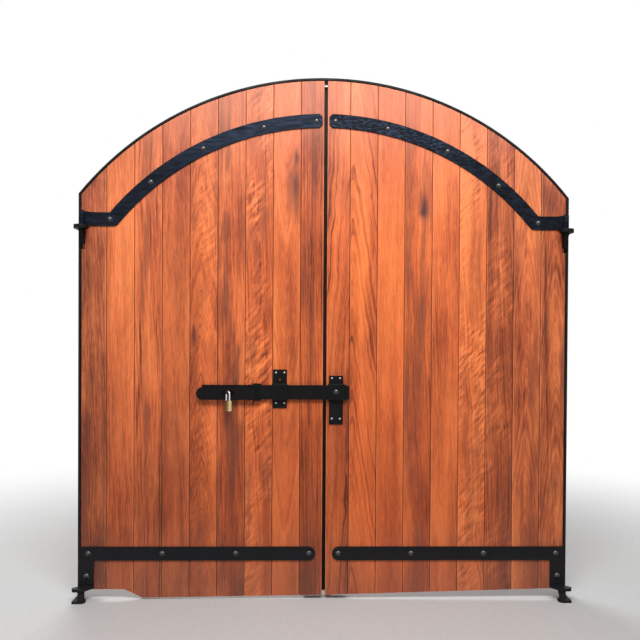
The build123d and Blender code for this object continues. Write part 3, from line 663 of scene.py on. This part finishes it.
# The screws of the two plates, from each plate's middle and from the bar's
for name, middle, across, above, body in (
        ("guide_screws", guide_middle, (-0.020, 0.023), (0.101, -0.057), "left_leaf"),
        ("keeper_screws", keeper_middle, (-0.022, 0.020), (0.073, -0.138), "right_leaf")):
    places = [(middle + x, bar_middle + z) for z in above for x in across]
    heads = [(screw, facing(1, x, plate_front, z, plate_screw_turn * k))
             for k, (x, z) in enumerate(places)]
    join(name, heads, bright, body)

# A rivet beside the padlock, through the hasp
rivet_x = -0.553
rivet_drop = 0.019
rivet_profile = [(0, -0.001), (0.0045, -0.001), (0.0045, 0.0002), (0.0036, 0.0014),
                 (0.0020, 0.0021), (0, 0.0023)]
rivet_place = facing(1, rivet_x, hasp_front, bar_middle - rivet_drop)
join("hasp_rivet", [(lathe("rivet", rivet_profile, 24), rivet_place)], worn_black, "hasp")

# Screws through the back of the framing, two to a board. Each has its share of the board's width
# and of the rail's height, and none is within 12 mm of a rail's end
screw_shares = ((0.28, 0.30), (0.72, 0.70))
end_margin = 0.012
for leaf in ("left", "right"):
    heads = []
    for part in ("bottom_rail", "lock_rail"):
        low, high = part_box(f"{leaf}_{part}")
        for number in boards:
            board_low, board_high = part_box(f"{leaf}_board_{number}")
            for along, up in screw_shares:
                x = board_low.x + (board_high.x - board_low.x) * along
                z = low.z + (high.z - low.z) * up
                if low.x + end_margin < x < high.x - end_margin:
                    heads.append((screw, facing(-1, x, rail_back, z, frame_screw_turn * number)))
    join(f"{leaf}_frame_screws", heads, worn_black, f"{leaf}_leaf")

# The padlock's keyway, a ring with a sunk middle under its body
keyway_profile = [(0, -0.0005), (0.0032, -0.0005), (0.0032, 0.0014), (0.0078, 0.0014),
                  (0.0085, 0.0008), (0.0085, -0.002), (0, -0.002)]
keyway = lathe("keyway", keyway_profile, 32)
under = Matrix.Translation((lock_centre.x, lock_centre.y, lock_low.z)) @ Matrix.Rotation(pi, 4, "X")
join("padlock_keyway", [(keyway, under)], steel, "hasp")


# The floor is pale near the gate, with its shadow, and turns into the white background further off

pale_to = 1.6
white_from = 4.5
reach = 30.0

paper = Tree("pale_floor", {"Roughness": 0.9})
speckle = paper.noise(paper.place, 35.0, 4.0, 0.6)
paper.surface(paper.ramp(speckle, (0.3, (0.54, 0.54, 0.53)), (0.7, (0.58, 0.58, 0.57))))
distance = paper.put("ShaderNodeVectorMath", {0: paper.place}, operation="LENGTH").outputs["Value"]
far = paper.math("MULTIPLY", paper.shown(), paper.band(distance, pale_to, white_from))
white = paper.put("ShaderNodeEmission", {"Color": (1, 1, 1, 1)}).outputs[0]
blend = paper.put("ShaderNodeMixShader", {0: far, 1: paper.shader.outputs[0], 2: white}).outputs[0]
paper.links.new(blend, paper.nodes["Material Output"].inputs["Surface"])

corners = [(-reach, -reach, 0), (reach, -reach, 0), (reach, reach, 0), (-reach, reach, 0)]
floor_mesh = bpy.data.meshes.new("floor")
floor_mesh.from_pydata(corners, [], [(0, 1, 2, 3)])
floor_mesh.materials.append(paper.material)
floor = add("floor", floor_mesh)


# The world lights softly, more from above, and shows white

light_from_below = 0.08
light_from_above = 0.36

world = bpy.data.worlds.new("studio")
bpy.context.scene.world = world
world.use_nodes = True
world.node_tree.nodes.clear()
studio = Graph(world.node_tree)
upward = studio.split(studio.put("ShaderNodeTexCoord").outputs["Generated"])["Z"]
limits = {0: upward, 1: -0.5, 2: 1.0, 3: light_from_below, 4: light_from_above}
strength = studio.put("ShaderNodeMapRange", limits).outputs[0]
sky = {"Color": (0.93, 0.96, 1.0, 1), "Strength": strength}
ambient = studio.put("ShaderNodeBackground", sky).outputs[0]
backdrop = studio.put("ShaderNodeBackground", {"Color": (1, 1, 1, 1), "Strength": 1.0}).outputs[0]
choice = studio.put("ShaderNodeMixShader", {0: studio.shown(), 1: ambient, 2: backdrop}).outputs[0]
studio.put("ShaderNodeOutputWorld", {"Surface": choice})


# The lamps

def lamp(name, place, target, size, power):
    light = bpy.data.lights.new(name, "AREA")
    light.shape = "RECTANGLE"
    light.size, light.size_y = size
    light.energy = power
    piece = add(name, light)
    piece.location = place
    piece.rotation_euler = (Vector(target) - Vector(place)).to_track_quat("-Z", "Y").to_euler()


lamp("key", place=(0.1, -2.9, 4.4), target=(0, 0, 2.3), size=(3.0, 1.5), power=212)
lamp("fill", place=(-3.6, -3.6, 2.4), target=(0, 0, 1.2), size=(2.5, 2.5), power=12)
lamp("back", place=(-1.5, 4.0, 4.0), target=(0, 0, 1.3), size=(3.0, 2.0), power=170)


# The camera, as the photograph was taken

focal_pixels = 700.0
picture = 640.0
eye = Vector((-0.0724, -3.6405, 1.3995))
yaw = radians(1.258)
pitch = radians(-0.618)
roll = radians(0.344)
centre_right = 6.26
centre_down = 18.35

camera_data = bpy.data.cameras.new("camera")
camera_data.sensor_width = 36.0
camera_data.lens = focal_pixels / picture * camera_data.sensor_width
camera_data.shift_x = -centre_right / picture
camera_data.shift_y = centre_down / picture
camera = add("camera", camera_data)
camera.matrix_world = (Matrix.Translation(eye) @ Matrix.Rotation(-yaw, 4, "Z")
                       @ Matrix.Rotation(pi / 2 + pitch, 4, "X") @ Matrix.Rotation(roll, 4, "Z"))
bpy.context.scene.camera = camera
bpy.context.scene.view_settings.view_transform = "Standard"
